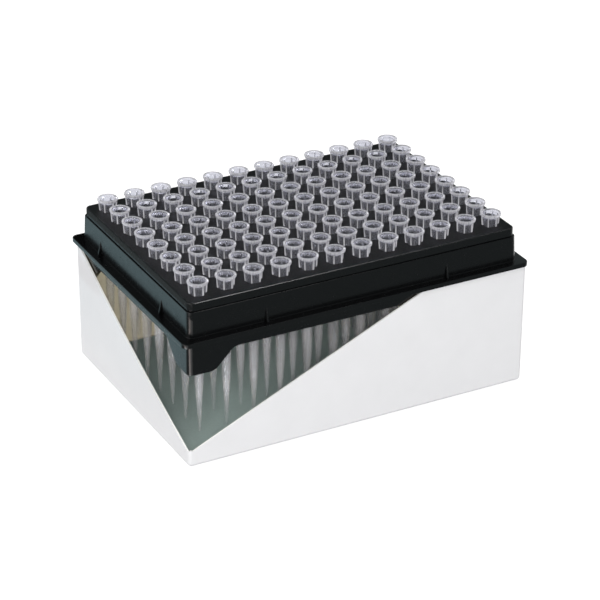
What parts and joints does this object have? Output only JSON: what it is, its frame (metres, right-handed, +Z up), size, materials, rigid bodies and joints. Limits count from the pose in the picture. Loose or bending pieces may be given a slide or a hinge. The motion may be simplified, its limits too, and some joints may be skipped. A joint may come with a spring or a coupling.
{
  "type": "box of pipette tips",
  "caption": "Open carton with a corner window, holding a black rack frame and a punched deck in which ribbed translucent pipette tips hang point down.",
  "frame": {"origin": "on the underside, at the middle of the flange's footprint", "axes": "+Z up; +X along the rows of twelve tips; the carton's window opens at the -X, -Y corner"},
  "size_m": [0.117, 0.0814, 0.0564],
  "materials": {
    "carton_board": "coated white board, satin",
    "rack_plastic": "black, gloss",
    "tip_plastic": "translucent natural polypropylene, satin"
  },
  "bodies": {
    "root": {"carton": "carton_board", "rack_frame": "rack_plastic", "tip_deck": "rack_plastic", "tip_A1": "tip_plastic", "tip_A2": "tip_plastic", "tip_A3": "tip_plastic", "tip_A4": "tip_plastic", "tip_A5": "tip_plastic", "tip_A6": "tip_plastic", "tip_A7": "tip_plastic", "tip_B1": "tip_plastic", "tip_B2": "tip_plastic", "tip_B3": "tip_plastic", "tip_B4": "tip_plastic", "tip_B5": "tip_plastic", "tip_B6": "tip_plastic", "tip_B7": "tip_plastic", "tip_C1": "tip_plastic", "tip_C2": "tip_plastic", "tip_C3": "tip_plastic", "tip_C4": "tip_plastic", "tip_C5": "tip_plastic", "tip_C6": "tip_plastic", "tip_C7": "tip_plastic", "tip_D1": "tip_plastic", "tip_D2": "tip_plastic", "tip_D3": "tip_plastic", "tip_D4": "tip_plastic", "tip_D5": "tip_plastic", "tip_D6": "tip_plastic", "tip_D7": "tip_plastic", "tip_E1": "tip_plastic", "tip_E2": "tip_plastic", "tip_E3": "tip_plastic", "tip_E4": "tip_plastic", "tip_E5": "tip_plastic", "tip_E6": "tip_plastic", "tip_E7": "tip_plastic", "tip_F1": "tip_plastic", "tip_F2": "tip_plastic", "tip_F3": "tip_plastic", "tip_F4": "tip_plastic", "tip_F5": "tip_plastic", "tip_F6": "tip_plastic", "tip_F7": "tip_plastic", "tip_G1": "tip_plastic", "tip_G2": "tip_plastic", "tip_G3": "tip_plastic", "tip_G4": "tip_plastic", "tip_G5": "tip_plastic", "tip_G6": "tip_plastic", "tip_G7": "tip_plastic", "tip_H1": "tip_plastic", "tip_H2": "tip_plastic", "tip_H3": "tip_plastic", "tip_H4": "tip_plastic", "tip_H5": "tip_plastic", "tip_H6": "tip_plastic", "tip_H7": "tip_plastic"}
  },
  "joints": []
}
